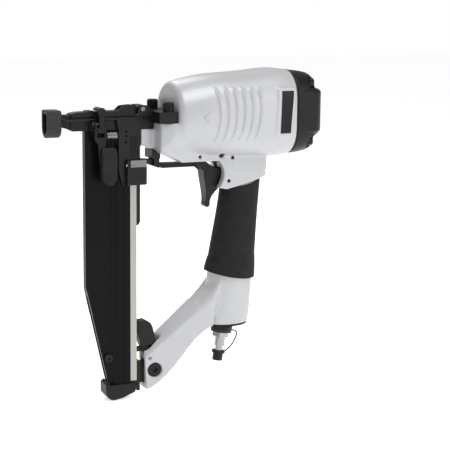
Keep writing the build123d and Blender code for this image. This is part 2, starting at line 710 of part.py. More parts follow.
def brad_pusher():
    """The follower that feeds the brads up; its guide block runs in the rib."""
    plate = block((magazine_front_x + front_lip + 0.6, rib_rear_x - 0.2), (-0.45, 0.45),
                  (-26.0, nose_bottom_z - 1.0))
    guide = block((65.0, 71.2), (-4.2, 0.0), (-34.0, -14.0))
    return plate + guide


def pusher_spring():
    """The long spring behind the pusher, drawn as the cylinder that it fills."""
    return rod_along_z(1.5, (cover_bottom_z + 1, -34.2), 68.1, -2.6)


# ---------- contact trip ----------
def pad_section(inset=0.0):
    """The D-shaped front: flat on top, round below."""
    half = pad_half_width - inset
    top = pad_top_z - inset
    centre = pad_bottom_z + pad_half_width
    outline = Curve() + Line((-half, centre), (-half, top)) + Line((-half, top), (half, top))
    outline += Line((half, top), (half, centre))
    outline += ThreePointArc((half, centre), (0, centre - half), (-half, centre))
    return make_face(Plane.YZ * outline)


def no_mar_pad():
    pad = extrude(pad_section(), pad_length, dir=(1, 0, 0))
    upper = pad.edges().filter_by(Axis.X).sort_by(Axis.Z)[-2:]
    pad = fillet(upper, 2.4)
    pad = fillet(pad.edges().group_by(Axis.X)[0], 0.8)
    pad = fillet(pad.edges().group_by(Axis.X)[-1], 1.6)
    pad -= Pos(-1, 0, 0) * extrude(pad_section(pad_wall), pad_length + 2, dir=(1, 0, 0))
    return pad - trip_rod() - mirror(trip_rod(), Plane.XZ)


def contact_foot():
    """The steel shoe inside the pad, which carries the push rods."""
    foot = extrude(pad_section(pad_wall), pad_length - 2.0, dir=(1, 0, 0))
    foot -= Pos(-1, 0, 0) * extrude(pad_section(pad_wall + shoe_wall), pad_length + 2, dir=(1, 0, 0))
    return Pos(1.0, 0, 0) * foot


def trip_rod():
    """The far push rod, bent up where it enters the pad."""
    path = FilletPolyline((5.5, rod_y, rod_head_z), (12.6, rod_y, rod_head_z), (18.6, rod_y, -0.3),
                          (65.0, rod_y, 0.0), radius=3.0)
    return sweep(Plane(path @ 0, z_dir=path % 0) * Circle(rod_radius), path=path)


def trip_rods():
    plate = side_shape(((62.5, 1.6), (60.8, -2.0), (62.5, -10.0), (62.5, -44.0), (66.0, -57.0), (82.0, -57.0),
                        (82.0, -9.0), (78.5, 1.6)), side_plate)
    plate -= rod_along_y(0.9, (0, 12), 69.5, -11.0)
    plate -= rod_along_y(0.9, (0, 12), 69.5, -14.8)
    plate -= rod_along_y(1.0, (0, 12), 69.2, -19.8)
    for x in (73.4, 75.4, 77.4, 79.4):
        plate -= block((x - 0.35, x + 0.35), (side_plate[1] - 0.5, 12), (-33.0, -15.0))
    return mirrored(plate + trip_rod())


def trip_yoke():
    yoke = block(yoke_x, (-yoke_half_width, yoke_half_width), yoke_z)
    yoke = fillet(yoke.edges().filter_by(Axis.X), 1.6)
    yoke = fillet(yoke.edges().group_by(Axis.X)[-1], 1.0)
    yoke -= block((yoke_x[0] - 1, 84.2), (-side_plate[1], side_plate[1]), (yoke_z[0] - 1, yoke_z[1] + 1))
    yoke -= block((72.0, 90.0), (-20, -9.4), (-41.4, -30))
    return yoke - rod_along_x(1.3, (yoke_x[0] - 1, 76.0), -11.0, depth_screw_z)


def yoke_clamp_bar():
    bar = block((72.0, 86.6), (-12.3, -9.4), (-41.4, -35.4))
    return bar - rod_along_x(1.3, (60, 76.0), -11.0, depth_screw_z)


def depth_set_screw():
    """Brass-faced screw that sets how far the trip reaches."""
    return rod_along_x(1.3, (yoke_x[0] - 0.8, 76.0), -11.0, depth_screw_z)


def trip_arm():
    """The strap from the yoke, under the housing, to the trigger."""
    outline = ((yoke_x[1], -35.6), (95.0, -36.4), (105.5, -40.0), (144.5, -40.0), (144.5, -44.2),
               (104.0, -44.2), (93.4, -40.6), (yoke_x[1], -39.4))
    return side_shape(outline, (-4.2, 4.2))


def guide_bracket():
    """The black guide under the housing's front, with a cheek on each side of the trip's strap."""
    seat = ((93.0, -27.2), (93.0, -34.8), (100.5, -35.4), (100.5, -30.7), (96.6, -29.0))
    bracket = side_shape(seat, (-8.6, 8.6))
    cheek = side_shape(((95.6, -34.0), (95.6, -42.0), (100.5, -43.6), (100.5, -34.0)), (5.0, 6.8))
    for part in mirrored(cheek):
        bracket += part
    return bracket


# ---------- trigger group ----------
def trigger():
    x, z = trigger_pivot
    top_z = -46.2
    front = Spline((142.4, top_z), (143.6, -56.7), (145.3, -67.0), (145.4, -77.4))
    tip = ThreePointArc((145.4, -77.4), (147.2, -81.2), (149.9, -78.6))
    rear = Spline((149.9, -78.6), (150.4, -72.9), (152.8, -68.9), (157.4, -64.0))
    outline = Curve() + front + tip + rear
    outline += Polyline((157.4, -64.0), (157.8, -55.5), (162.6, -51.0), (163.0, -46.8), (142.4, top_z))
    body = extrude(make_face(Plane.XZ * outline), trigger_half, both=True)
    body = body & rounded_trigger_envelope()
    body -= side_shape(((145.8, -40.0), (146.8, -53.0), (153.0, -56.0), (156.0, -47.2), (170.0, -47.0),
                        (170.0, -40.0)), (-5.0, 5.0))
    cheek = side_shape(((x - 3.2, z + 0.5), (x - 1.8, z + 2.8), (x + 1.8, z + 2.8), (x + 4.6, z - 2.0),
                        (150.0, -43.6), (158.0, -47.2), (146.0, -52.0), (142.8, -49.0), (x - 3.2, z - 5.0)),
                       (5.0, trigger_half))
    for part in mirrored(cheek):
        body += part
    return body - rod_along_y(1.5 + pin_gap, (-20, 20), x, z)


def rounded_trigger_envelope():
    """Narrows the trigger towards its tip."""
    section = ((-trigger_half, -40), (-trigger_half, -62), (-5.6, -74), (-4.2, -84), (4.2, -84), (5.6, -74),
               (trigger_half, -62), (trigger_half, -40))
    return end_shape(section, (120, 180))


def trigger_pin():
    return rod_along_y(1.5, (-14.6, 14.6), *trigger_pivot)


def housing_pins():
    return [rod_along_y(radius, (-14.6, 14.6), x, z) for x, z, radius in housing_pin_places()[1:]]


def valve_body():
    """The trigger valve's body in its bore, drilled for the stem."""
    body = rod_along_z(6.45, (valve_bottom_z, -29.5), valve_x)
    body -= rod_along_z(1.7 + pin_gap, (-50, -20), valve_x)
    body -= Pos(valve_x, 0, valve_bottom_z + 1.5) * Torus(6.2, 0.75)
    for x, z, radius in housing_pin_places()[1:3]:
        body -= rod_along_y(radius, (-20, 20), x, z)
    return body


def valve_stem():
    return rod_along_z(1.7, (-46.7, -32.6), valve_x)


def valve_seal():
    ring = Pos(valve_x, 0, valve_bottom_z + 1.5) * Torus(6.2, 0.7)
    return ring & rod_along_z(6.5, (-45, -25), valve_x)


# ---------- handle fittings ----------
def grip_sleeve():
    """Rubber sleeve over the handle, cut on a slant at the top and rounded at the foot."""
    outer = loft([Plane.XY.offset(z) * Pos(x, 0) * Ellipse(a + grip_thickness, b + grip_thickness)
                  for z, x, a, b in handle_sections])
    flare_sections = ((-126.0, 173.6, 20.3, 15.2), (-139.0, 171.6, 22.6, 15.9), (-150.0, 171.0, 22.6, 15.9))
    flare = loft([Plane.XY.offset(z) * Pos(x, 0) * Ellipse(a + grip_thickness, b + grip_thickness)
                  for z, x, a, b in flare_sections])
    limits = Curve() + Line((130, -132.0), (130, -68.0)) + Line((130, -68.0), (162.0, -66.0))
    limits += Spline((162.0, -66.0), (180.0, -61.5), (194.0, -57.5), (202.5, -51.5))
    limits += Line((202.5, -51.5), (225, -48.0)) + Line((225, -48.0), (225, -144.6))
    limits += ThreePointArc((225, -144.6), (170.0, -144.9), (130, -132.0))
    cutter = extrude(make_face(Plane.XZ * limits), 30, both=True)
    sleeve = (outer + flare) & cutter
    sleeve -= loft([Plane.XY.offset(z) * Pos(x, 0) * Ellipse(a, b) for z, x, a, b in handle_sections])
    sleeve -= arm()
    return sleeve - trigger_slot()


def inlet_end_cap():
    """Plate that closes the handle's foot."""
    _, x, half_length, half_width = handle_sections[-1]
    plate = Pos(x, 0, handle_bottom_z - 1.8) * extrude(Ellipse(half_length - 0.8, half_width - 0.8), 1.8)
    plug = handle_core(handle_wall + 0.15, handle_bottom_z + 4.0, handle_bottom_z)
    return plate + plug - along_inlet(8.2, -12, 12) - arm()


def inlet_place(distance):
    """Point on the leaning inlet axis, measured down from the handle's foot."""
    lean = math.radians(inlet_lean)
    return (inlet_origin[0] - distance * math.sin(lean), 0, inlet_origin[1] - distance * math.cos(lean))


def along_inlet(radius, start, end):
    middle = inlet_place((start + end) / 2)
    return Pos(*middle) * Rot(0, inlet_lean, 0) * Cylinder(radius, end - start)


def hex_along_inlet(across_flats, start, end):
    prism = extrude(RegularPolygon(across_flats / 2, 6, major_radius=False), end - start)
    return Pos(*inlet_place(end)) * Rot(0, inlet_lean, 0) * prism


def inlet_bushing():
    bushing = along_inlet(8.1, -8, 3.4) + along_inlet(10.0, 3.4, 6.6)
    bushing -= along_inlet(4.6, -10, 8)
    return bushing


def tether_ring():
    return along_inlet(9.6, 6.6, 9.2) - along_inlet(4.7, 5, 10)


def air_plug():
    plug = along_inlet(4.55, -6, 9.4)
    plug += hex_along_inlet(14.2, 9.4, 13.6)
    plug += along_inlet(4.75, 13.6, 22.4)
    plug += along_inlet(3.4, 22.4, 31.0)
    plug -= along_inlet(2.3, -8, 33)
    return plug


def dust_cap():
    cap = along_inlet(6.0, 27.0, 29.2) + along_inlet(4.6, 29.2, 36.0)
    cap -= along_inlet(3.4 + pin_gap, 26, 31.4)
    return cap


def tether():
    """Moulded tether from the ring to the dust cap: runs joined by tangent arcs."""
    route = [(173.69, 0.0, -197.09), (178.45, 0.0, -197.71), (181.6, 2.6, -201.4), (181.2, 5.8, -207.5),
             (175.0, 4.0, -214.9), (167.9, 0.6, -216.7)]
    radii = []
    for before, corner, after in zip(route, route[1:], route[2:]):
        first = Vector(*corner) - Vector(*before)
        second = Vector(*after) - Vector(*corner)
        half_turn = math.radians(first.get_angle(second)) / 2
        radii.append(0.45 * min(first.length, second.length) / math.tan(half_turn))
    path = FilletPolyline(*route, radius=radii)
    tube = sweep(Plane(path @ 0, z_dir=path % 0) * Circle(tether_diameter / 2), path=path)
    expected = math.pi * (tether_diameter / 2) ** 2 * path.length
    print("tether radii", [round(radius, 1) for radius in radii])
    print("tether length", round(path.length, 1), "volume ratio", round(tube.volume / expected, 3))
    return tube


# ---------- lower magazine mounting ----------
def magazine_bracket():
    """Black tongue that ties the rail's foot to the arm."""
    front = rail_rear_x + 0.2
    bracket = block((front, front + bracket_thickness), (-rail_half_width, rail_half_width), (-242, -215))
    bracket += block((front + 1, 101.6), (-2.6, 2.6), (-235.5, -216.5))
    bracket -= rod_along_y(bolt_radius, (-10, 10), *arm_bolt)
    return bracket - foot_screw_hole()


def foot_screw_hole():
    return rod_along_x(1.6, (rail_rear_x - 1.9, rail_rear_x + 4.5), 0, -226)


def rail_foot_screw():
    head = rod_along_x(3.0, (rail_rear_x - rail_sheet - 1.8, rail_rear_x - rail_sheet), 0, -226)
    return head + foot_screw_hole()


def magazine_bolt():
    x, z = arm_bolt
    bolt = rod_along_y(bolt_radius, (-4.6, 4.6), x, z) + rod_along_y(6.2, (-7.2, -4.6), x, z)
    bolt += rod_along_y(bolt_radius - 1.0, (4.6, 9.0), x, z)
    socket = Pos(x, -5.6, z) * Rot(90, 0, 0) * extrude(RegularPolygon(2.8, 6), 3)
    return bolt - socket


def magazine_nut():
    x, z = arm_bolt
    nut = Pos(x, 4.6, z) * Rot(-90, 0, 0) * extrude(RegularPolygon(5.6, 6), 3.4)
    return nut - rod_along_y(bolt_radius - 1.0, (0, 12), x, z)


def magazine_latch():
    """Thumb latch for the sliding cover, with a tooth that reaches to the rail."""
    x, z = latch_pivot
    paddle = side_shape(((84.6, -202.8), (81.2, -190.0), (81.2, -180.6), (82.8, -179.0), (88.7, -178.7),
                         (93.4, -181.6), (95.5, -185.8), (99.2, -201.0)), (-4.8, 4.8))
    paddle = fillet(paddle.edges().filter_by(Axis.Y), 0.8)
    shank = side_shape(((86.0, -198.0), (86.0, -206.0), (88.2, z - 1.5), (x, z - 2.9), (x + 2.9, z),
                        (97.0, -205.0), (98.0, -199.0)), (-3.2, 3.2))
    tooth = side_shape(((rib_rear_x + slide_gap, -203.0), (87.0, -203.0), (87.0, -207.5),
                        (rib_rear_x + slide_gap, -207.5)), (-1.9, 1.9))
    latch = paddle + shank + tooth
    return latch - rod_along_y(1.6 + pin_gap, (-10, 10), x, z)


def latch_pin():
    return rod_along_y(1.6, (-7.6, 7.6), *latch_pivot)


def write_parts():
    save("housing", housing())
    save("name_plate", label_plate_solid())
    save("rear_cap", rear_cap())
    save("rear_cap_screws", *cap_screws())
    save("rear_cap_gasket", cap_gasket())
    save("exhaust_silencer", exhaust_silencer())
    save("cylinder_sleeve", cylinder_sleeve())
    save("cylinder_seals", *sleeve_seals())
    save("piston_bumper", piston_bumper())
    save("piston", piston())
    save("piston_ring", piston_ring())
    save("driver_blade", driver_blade())
    save("head_valve", head_valve())
    save("head_valve_spring", head_valve_spring())
    save("nose_body", nose_body())
    save("nose_screws", *nose_screws())
    save("nose_door", nose_door())
    save("door_hinge_pin", door_hinge_pin())
    save("release_lever", release_lever())
    save("release_paddle", release_paddle())
    save("release_lever_pin", lever_pin())
    save("release_hook", release_hook())
    save("release_hook_pin", hook_pin())
    save("trip_return_spring", trip_return_spring())
    save("magazine_rail", magazine_rail())
    save("magazine_cover", magazine_cover())
    save("magazine_end_cap", magazine_end_cap())
    save("end_cap_screw", end_cap_screw())
    save("brad_pusher", brad_pusher())
    save("pusher_spring", pusher_spring())
    save("magazine_bracket", magazine_bracket())
    save("rail_foot_screw", rail_foot_screw())
    save("magazine_bolt", magazine_bolt())
    save("magazine_nut", magazine_nut())
    save("magazine_latch", magazine_latch())
    save("latch_pin", latch_pin())
    save("no_mar_pad", no_mar_pad())
    save("contact_foot", contact_foot())
    save("trip_side_rods", *trip_rods())
    save("trip_yoke", trip_yoke())
    save("yoke_clamp_bar", yoke_clamp_bar())
    save("depth_set_screw", depth_set_screw())
    save("trip_arm", trip_arm())
    save("guide_bracket", guide_bracket())
    save("trigger", trigger())
    save("trigger_pin", trigger_pin())
    save("housing_pins", *housing_pins())
    save("valve_body", valve_body())
    save("valve_stem", valve_stem())
    save("valve_seal", valve_seal())
    save("grip_sleeve", grip_sleeve())
    save("inlet_end_cap", inlet_end_cap())
    save("inlet_bushing", inlet_bushing())
    save("tether_ring", tether_ring())
    save("air_plug", air_plug())
    save("dust_cap", dust_cap())
    save("dust_cap_tether", tether())


write_parts()
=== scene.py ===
import json
import math

import bmesh
import bpy
from mathutils import Matrix, Vector
from mathutils.bvhtree import BVHTree


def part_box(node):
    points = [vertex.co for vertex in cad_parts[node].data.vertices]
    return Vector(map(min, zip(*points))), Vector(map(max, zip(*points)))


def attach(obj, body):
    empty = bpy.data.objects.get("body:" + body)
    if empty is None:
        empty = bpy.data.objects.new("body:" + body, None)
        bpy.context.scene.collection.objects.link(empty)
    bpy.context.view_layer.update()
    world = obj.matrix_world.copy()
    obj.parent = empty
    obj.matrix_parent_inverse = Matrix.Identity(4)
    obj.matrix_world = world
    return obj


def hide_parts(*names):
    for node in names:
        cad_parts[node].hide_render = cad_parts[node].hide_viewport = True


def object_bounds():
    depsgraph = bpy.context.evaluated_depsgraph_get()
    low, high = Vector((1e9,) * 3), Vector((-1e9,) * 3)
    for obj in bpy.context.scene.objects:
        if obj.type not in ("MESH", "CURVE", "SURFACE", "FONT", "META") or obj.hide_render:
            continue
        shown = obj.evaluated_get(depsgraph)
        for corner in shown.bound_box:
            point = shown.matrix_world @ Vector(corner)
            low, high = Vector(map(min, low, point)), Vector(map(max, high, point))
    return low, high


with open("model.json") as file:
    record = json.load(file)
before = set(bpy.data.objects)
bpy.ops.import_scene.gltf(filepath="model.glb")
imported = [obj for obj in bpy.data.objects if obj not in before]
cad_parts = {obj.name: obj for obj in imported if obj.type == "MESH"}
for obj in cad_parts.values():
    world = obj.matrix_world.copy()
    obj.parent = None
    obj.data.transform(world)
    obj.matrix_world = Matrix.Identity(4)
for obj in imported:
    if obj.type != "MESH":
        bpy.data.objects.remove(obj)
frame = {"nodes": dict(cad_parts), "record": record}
cad_low, cad_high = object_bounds()

# ---------- sizes, in metres ----------
CAMERA_AZIMUTH = math.radians(-25.0)
CAMERA_ELEVATION = math.radians(10.0)
CAMERA_ROLL = math.radians(0.6)
CAMERA_DISTANCE = 1.17
CAMERA_LENS = 104.0
AIM_FROM_CENTRE = Vector((0.0419, 0.0, 0.0043))
FLOOR_GAP = 0.0004
EDGE_RADIUS = 0.00035
TETHER_DIAMETER = 0.0012
# the tether's route from its ring to the dust cap
TETHER_ROUTE = ((0.17369, 0.0, -0.19709), (0.17845, 0.0, -0.19771), (0.1816, 0.0026, -0.2014),
                (0.1812, 0.0058, -0.2075), (0.175, 0.004, -0.2149), (0.1679, 0.0006, -0.2167))
CASTING_VOXEL = 0.0007
FINE_VOXEL = 0.0004
CASTING_PASSES = 4
# black castings with softened edges: node, new piece, body, voxel size, smoothing passes
BLACK_CASTINGS = (("rear_cap", "rear_cap_casting", "root", CASTING_VOXEL, CASTING_PASSES),
                  ("release_paddle", "thumb_paddle", "lever", FINE_VOXEL, 6),
                  ("magazine_latch", "latch_paddle", "latch", FINE_VOXEL, 6),
                  ("trigger", "trigger_casting", "trigger", FINE_VOXEL, 5),
                  ("magazine_end_cap", "magazine_foot", "magazine_cover", FINE_VOXEL, 5))
# parts of the housing whose junctions are cast with a wide radius: low corner, high corner, passes
BLENDS = (((0.136, -0.03, -0.181), (0.168, 0.03, -0.136), 45),
          ((0.108, -0.04, -0.031), (0.2, 0.04, -0.012), 25),
          ((0.094, -0.04, -0.031), (0.13, 0.04, -0.0045), 25))
RIB_WIDTH = 0.0027
RIB_HEIGHT = 0.0006
RIB_COUNT = 6
RIB_POINTS = 28
# the first rib's x and z at its top, middle and foot, and how far on the next rib is there
RIB_TOP = (0.14295, 0.026)
RIB_MIDDLE = (0.14625, 0.0)
RIB_FOOT = (0.14205, -0.02)
RIB_PITCHES = (0.00794, 0.00764, 0.00746)
ARROW_TIP = (0.1308, 0.0011)
ARROW_ENDS = ((0.1394, 0.006), (0.1374, -0.0039))
ARROW_WIDTH = 0.0021
ARROW_STEPS = 6
BESIDE_THE_BODY_Y = -0.06
SPRING_COILS = 7
SPRING_STEPS_PER_COIL = 16
SPRING_WIRE_RADIUS = 0.0009
SCREW_HEAD_RADIUS = 0.0046
KNURL_TEETH = 30
KNURL_RADIUS = 0.00458
KNURL_DEPTH = 0.00026
KNURL_BEVEL = 0.0004
# the knurled band's ends, below the top of the screw head
KNURL_FOOT = 0.0072
KNURL_TOP = 0.0012

# ---------- light and finish ----------
# soft boxes: name, place, size, power in watts
LIGHTS = (("key", (0.1, -0.7, 1.5), 1.0, 17.0),
          ("fill", (0.9, -1.1, 0.4), 0.9, 5.0),
          ("rim", (0.1, 1.0, 1.0), 0.8, 8.0))
WORLD_LIGHT = 0.38
FLOOR_HALF_SIZE = 6.0
FLOOR_GLOW = 0.62
BLACK_GLOSS = 0.25
# the part of the noise's range that is used, and how much slower than the grain the colour drifts
NOISE_LOW = 0.3
NOISE_HIGH = 0.7
DRIFT_SCALE = 18.0


# ---------- camera, light and floor ----------
def make_camera():
    """A long lens at the picture's angle, turned a little about its own axis."""
    aim = (cad_low + cad_high) / 2 + AIM_FROM_CENTRE
    flat = math.cos(CAMERA_ELEVATION)
    back = Vector((math.sin(CAMERA_AZIMUTH) * flat, -math.cos(CAMERA_AZIMUTH) * flat,
                   math.sin(CAMERA_ELEVATION)))
    camera = bpy.data.objects.new("camera", bpy.data.cameras.new("camera"))
    camera.data.lens = CAMERA_LENS
    camera.data.sensor_width = 36.0
    camera.data.clip_end = 20.0
    turn = (-back).to_track_quat("-Z", "Y").to_matrix().to_4x4()
    roll = Matrix.Rotation(CAMERA_ROLL, 4, "Z")
    camera.matrix_world = Matrix.Translation(aim + back * CAMERA_DISTANCE) @ turn @ roll
    bpy.context.scene.collection.objects.link(camera)
    bpy.context.scene.camera = camera
    return aim


def make_light(name, place, aim, size, power):
    """A square soft box at a place, facing the aim."""
    light = bpy.data.lights.new(name, "AREA")
    light.shape = "SQUARE"
    light.size = size
    light.energy = power
    lamp = bpy.data.objects.new(name, light)
    lamp.location = place
    lamp.rotation_mode = "QUATERNION"
    lamp.rotation_quaternion = (aim - Vector(place)).to_track_quat("-Z", "Y")
    bpy.context.scene.collection.objects.link(lamp)


def make_world():
    """Even light from all round, in front of a white backdrop."""
    world = bpy.data.worlds.new("studio")
    world.use_nodes = True
    background = world.node_tree.nodes["Background"]
    background.inputs["Color"].default_value = (1.0, 1.0, 1.0, 1.0)
    background.inputs["Strength"].default_value = WORLD_LIGHT
    seen = world.node_tree.nodes.new("ShaderNodeBackground")
    seen.inputs["Color"].default_value = (1.0, 1.0, 1.0, 1.0)
    seen.inputs["Strength"].default_value = 1.0
    path = world.node_tree.nodes.new("ShaderNodeLightPath")
    mix = world.node_tree.nodes.new("ShaderNodeMixShader")
    output = world.node_tree.nodes["World Output"]
    world.node_tree.links.new(path.outputs["Is Camera Ray"], mix.inputs["Fac"])
    world.node_tree.links.new(background.outputs["Background"], mix.inputs[1])
    world.node_tree.links.new(seen.outputs["Background"], mix.inputs[2])
    world.node_tree.links.new(mix.outputs["Shader"], output.inputs["Surface"])
    bpy.context.scene.world = world
    bpy.context.scene.view_settings.view_transform = "Standard"


def make_floor():
    """A wide white floor that glows a little, just under the object."""
    half = FLOOR_HALF_SIZE
    height = cad_low.z - FLOOR_GAP
    mesh = bpy.data.meshes.new("floor")
    corners = [(-half, -half, height), (half, -half, height), (half, half, height), (-half, half, height)]
    mesh.from_pydata(corners, [], [(0, 1, 2, 3)])
    floor = bpy.data.objects.new("floor", mesh)
    bpy.context.scene.collection.objects.link(floor)
    paint, shader, _ = new_material("floor_paint", (0.93, 0.93, 0.93), 0.6)
    shader.inputs["Emission Color"].default_value = (1.0, 1.0, 1.0, 1.0)
    shader.inputs["Emission Strength"].default_value = FLOOR_GLOW
    mesh.materials.append(paint)


# ---------- materials ----------
def new_material(name, colour, roughness, metallic=0.0):
    """A material with its shader's constant values set, and the shader and node tree that it has."""
    material = bpy.data.materials.new(name)
    material.use_nodes = True
    tree = material.node_tree
    shader = tree.nodes["Principled BSDF"]
    shader.inputs["Base Color"].default_value = (*colour, 1.0)
    shader.inputs["Roughness"].default_value = roughness
    shader.inputs["Metallic"].default_value = metallic
    return material, shader, tree


def noise_field(tree, scale, detail=3.0, stretch=(1.0, 1.0, 1.0)):
    """Noise in the object's own coordinates, with features of about one over scale metres."""
    place = tree.nodes.new("ShaderNodeTexCoord")
    mapping = tree.nodes.new("ShaderNodeMapping")
    mapping.inputs["Scale"].default_value = stretch
    texture = tree.nodes.new("ShaderNodeTexNoise")
    texture.inputs["Scale"].default_value = scale
    texture.inputs["Detail"].default_value = detail
    tree.links.new(place.outputs["Object"], mapping.inputs["Vector"])
    tree.links.new(mapping.outputs["Vector"], texture.inputs["Vector"])
    return texture.outputs["Fac"]


def vary(tree, source, low, high, socket):
    """Sends a field, spread from low to high, to a number socket."""
    spread = tree.nodes.new("ShaderNodeMapRange")
    spread.inputs["From Min"].default_value = NOISE_LOW
    spread.inputs["From Max"].default_value = NOISE_HIGH
    spread.inputs["To Min"].default_value = low
    spread.inputs["To Max"].default_value = high
    tree.links.new(source, spread.inputs["Value"])
    tree.links.new(spread.outputs["Result"], socket)


def tint(tree, source, dark, light, socket):
    """Sends a field, coloured from dark to light, to a colour socket."""
    ramp = tree.nodes.new("ShaderNodeValToRGB")
    ramp.color_ramp.elements[0].position = NOISE_LOW
    ramp.color_ramp.elements[0].color = (*dark, 1.0)
    ramp.color_ramp.elements[1].position = NOISE_HIGH
    ramp.color_ramp.elements[1].color = (*light, 1.0)
    tree.links.new(source, ramp.inputs["Fac"])
    tree.links.new(ramp.outputs["Color"], socket)


def surface(tree, shader, source, height, edge=EDGE_RADIUS):
    """Bumps the surface by a field of that height in metres, over softened edges."""
    soft = tree.nodes.new("ShaderNodeBevel")
    soft.inputs["Radius"].default_value = edge
    soft.samples = 4
    bump = tree.nodes.new("ShaderNodeBump")
    bump.inputs["Distance"].default_value = height
    bump.inputs["Strength"].default_value = 1.0
    tree.links.new(source, bump.inputs["Height"])
    tree.links.new(soft.outputs["Normal"], bump.inputs["Normal"])
    tree.links.new(bump.outputs["Normal"], shader.inputs["Normal"])


def shades(colour, spread):
    """The colour a little darker and a little lighter."""
    return tuple(c * (1 - spread) for c in colour), tuple(c * (1 + spread) for c in colour)


def finish_material(name, colour, roughness, metallic=0.0, grain=900.0, height=0.00001, spread=0.06,
                    gloss_spread=0.05, stretch=(1.0, 1.0, 1.0), coat=0.0, edge=EDGE_RADIUS,
                    specular=0.5):
    """A finish with fine grain, a slow drift of colour and gloss, and softened edges."""
    material, shader, tree = new_material(name, colour, roughness, metallic)
    shader.inputs["Coat Weight"].default_value = coat
    shader.inputs["Specular IOR Level"].default_value = specular
    drift = noise_field(tree, grain / DRIFT_SCALE, 4.0, stretch)
    fine = noise_field(tree, grain, 3.0, stretch)
    dark, light = shades(colour, spread)
    tint(tree, drift, dark, light, shader.inputs["Base Color"])
    vary(tree, fine, roughness - gloss_spread, roughness + gloss_spread, shader.inputs["Roughness"])
    surface(tree, shader, fine, height, edge)
    return material


def make_materials():
    along_x = (0.04, 1.0, 1.0)
    along_z = (1.0, 1.0, 0.02)
    return {
        "housing_paint": finish_material("housing_paint", (0.47, 0.475, 0.49), 0.42, 0.2, 1400.0, 0.000012,
                                         0.02, 0.04, coat=0.1, edge=0.0005),
        "black_casting": finish_material("black_casting", (0.006, 0.006, 0.0065), 0.4, 0.0, 1500.0, 0.00002,
                                         0.15, specular=BLACK_GLOSS),
        "black_steel": finish_material("black_steel", (0.006, 0.006, 0.007), 0.36, 0.0, 1200.0, 0.00001, 0.2,
                                       specular=BLACK_GLOSS),
        "anodised": finish_material("anodised", (0.003, 0.003, 0.0035), 0.28, 0.0, 1500.0, 0.000006, 0.15,
                                    stretch=along_z, specular=0.1),
        "stainless": finish_material("stainless", (0.36, 0.345, 0.32), 0.3, 1.0, 2200.0, 0.000004, 0.05,
                                     stretch=along_z),
        "bright_steel": finish_material("bright_steel", (0.2, 0.2, 0.205), 0.3, 1.0, 1800.0, 0.000005, 0.06,
                                        stretch=along_x),
        "plated": finish_material("plated", (0.36, 0.355, 0.345), 0.22, 1.0, 1200.0, 0.000004, 0.04),
        "grip_rubber": finish_material("grip_rubber", (0.008, 0.008, 0.0085), 0.7, 0.0, 2600.0, 0.00016, 0.3,
                                       0.1, specular=BLACK_GLOSS),
        "seal_rubber": finish_material("seal_rubber", (0.01, 0.01, 0.01), 0.62, 0.0, 1500.0, 0.00002, 0.15),
        "brass": finish_material("brass", (0.78, 0.58, 0.28), 0.25, 1.0, 1500.0, 0.000004, 0.05),
        "bare_aluminium": finish_material("bare_aluminium", (0.75, 0.76, 0.78), 0.3, 1.0, 1500.0, 0.000004,
                                          0.04, stretch=along_x),
        "plate": finish_material("plate", (0.005, 0.005, 0.0055), 0.35, 0.0, 2600.0, 0.00001, 0.3,
                                 specular=BLACK_GLOSS),
        "bronze": finish_material("bronze", (0.35, 0.22, 0.12), 0.55, 1.0, 3000.0, 0.00008, 0.2),
    }


def paint_nodes(materials):
    """Gives every CAD node the finish of its material slot."""
    for row in frame["record"]["subparts"]:
        node = frame["nodes"][row["node"]]
        node.data.materials.clear()
        node.data.materials.append(materials[row["material_slot"]])


# ---------- castings ----------
def add_piece(name, mesh, body, slot, materials, replaced=()):
    """Puts a mesh in the scene with its finish and the body that it moves with."""
    piece = bpy.data.objects.new(name, mesh)
    bpy.context.scene.collection.objects.link(piece)
    mesh.materials.clear()
    mesh.materials.append(materials[slot])
    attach(piece, body)
    if replaced:
        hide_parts(*replaced)


def inside(place, low, high):
    """Whether a place is within the box between two corners."""
    return all(low[axis] < place[axis] < high[axis] for axis in range(3))


def smooth(form, vertices, passes):
    """Moves the vertices towards their neighbours, a number of times."""
    for _ in range(passes):
        bmesh.ops.smooth_vert(form, verts=vertices, factor=0.5, use_axis_x=True, use_axis_y=True,
                              use_axis_z=True)


def cast_skin(node, voxel, passes, blends=()):
    """The node's form as one smooth skin, with its edges and the named junctions blended."""
    rough = bpy.data.objects.new("rough_form", frame["nodes"][node].data.copy())
    bpy.context.scene.collection.objects.link(rough)
    skin = rough.modifiers.new("skin", "REMESH")
    skin.mode = "VOXEL"
    skin.voxel_size = voxel
    graph = bpy.context.evaluated_depsgraph_get()
    mesh = bpy.data.meshes.new_from_object(rough.evaluated_get(graph))
    bpy.data.objects.remove(rough)
    form = bmesh.new()
    form.from_mesh(mesh)
    smooth(form, form.verts, passes)
    for low, high, more_passes in blends:
        smooth(form, [vertex for vertex in form.verts if inside(vertex.co, low, high)], more_passes)
    for face in form.faces:
        face.smooth = True
    form.to_mesh(mesh)
    form.free()
    return mesh


def surface_finder(mesh):
    """Gives a function that finds the mesh's near side over a point x, z."""
    tree = BVHTree.FromPolygons([vertex.co for vertex in mesh.vertices],
                                [tuple(face.vertices) for face in mesh.polygons])

    def near_y(x, z):
        hit = tree.ray_cast(Vector((x, BESIDE_THE_BODY_Y, z)), Vector((0.0, 1.0, 0.0)))[0]
        return hit.y

    return near_y


